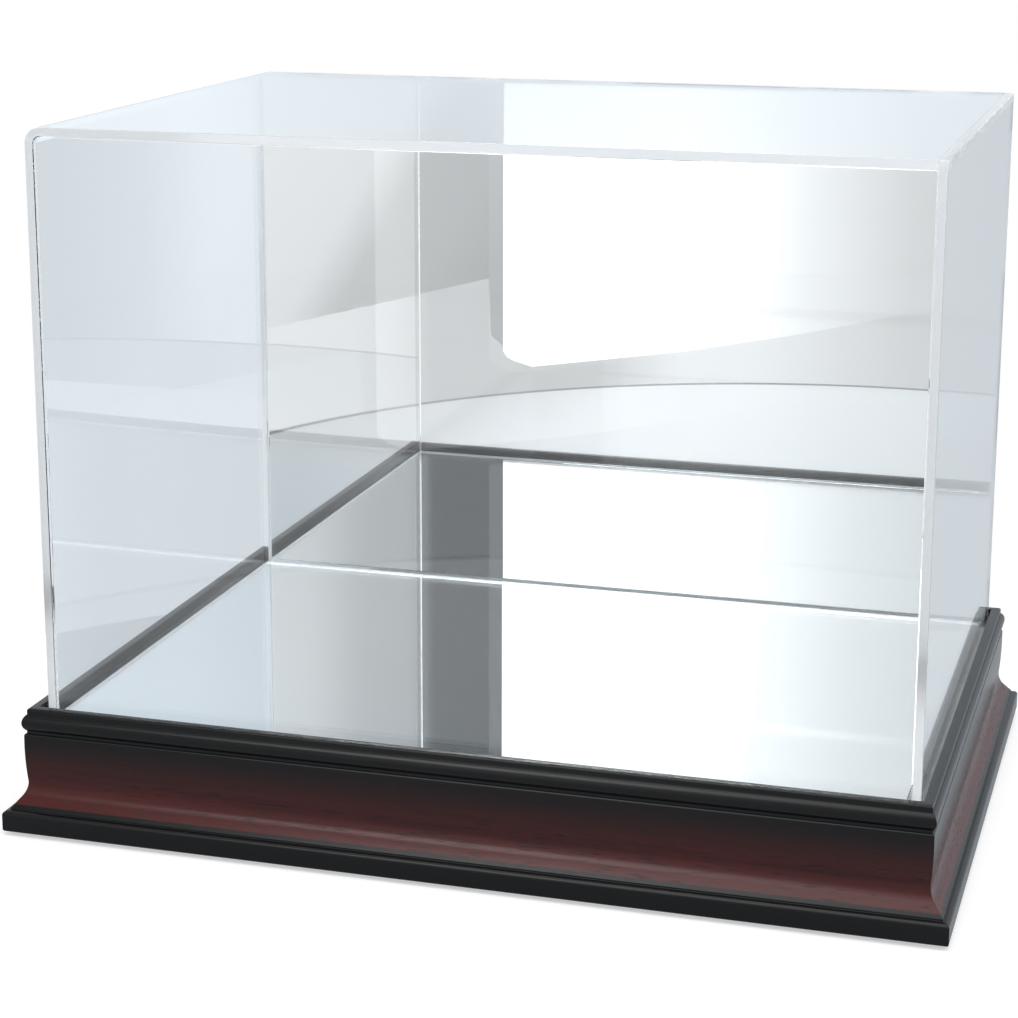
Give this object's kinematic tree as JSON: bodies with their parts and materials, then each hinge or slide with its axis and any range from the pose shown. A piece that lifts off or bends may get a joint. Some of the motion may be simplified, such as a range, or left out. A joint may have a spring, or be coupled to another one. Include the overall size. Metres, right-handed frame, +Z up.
{
  "type": "ball display case",
  "caption": "Free-standing display case for a ball: lift-off clear bent-sheet cover with a mirrored back, on a mitred mahogany and black moulded base with a mirrored floor.",
  "frame": {"origin": "middle of the footprint, on the plane that the felt pads rest on", "axes": "+X along the case's long side, to the right as seen from the front; the clear front faces -Y and the mirrored back is at +Y; +Z up, the way the cover lifts"},
  "size_m": [0.3684, 0.2604, 0.2769],
  "materials": {
    "lacquered_moulding": "satin lacquer, mahogany red in the cove fading to black above, with a black plinth, bead and rim",
    "board": "raw fibreboard",
    "steel": "bright steel",
    "felt": "pressed felt",
    "foam_tape": "closed-cell foam",
    "silvering": "silvered face, grey backing paint behind",
    "clear_sheet": "clear polished acrylic"
  },
  "bodies": {
    "base": {"front_rail": "lacquered_moulding", "back_rail": "lacquered_moulding", "left_rail": "lacquered_moulding", "right_rail": "lacquered_moulding", "corner_v_nails": "steel", "base_board": "board", "board_pins": "steel", "felt_pads": "felt", "floor_mirror_tapes": "foam_tape", "floor_mirror_silvering": "silvering", "floor_mirror_sheet": "clear_sheet"},
    "cover": {"cover_wrap": "clear_sheet", "cover_right_panel": "clear_sheet", "cover_front_panel": "clear_sheet", "cover_back_panel": "clear_sheet", "back_mirror_tapes": "foam_tape", "back_mirror_silvering": "silvering", "back_mirror_sheet": "clear_sheet"}
  },
  "joints": [
    {"name": "cover_lift", "type": "slide", "parent": "base", "child": "cover", "axis": [0, 0, 1], "range_m": [0, 0.25]}
  ]
}
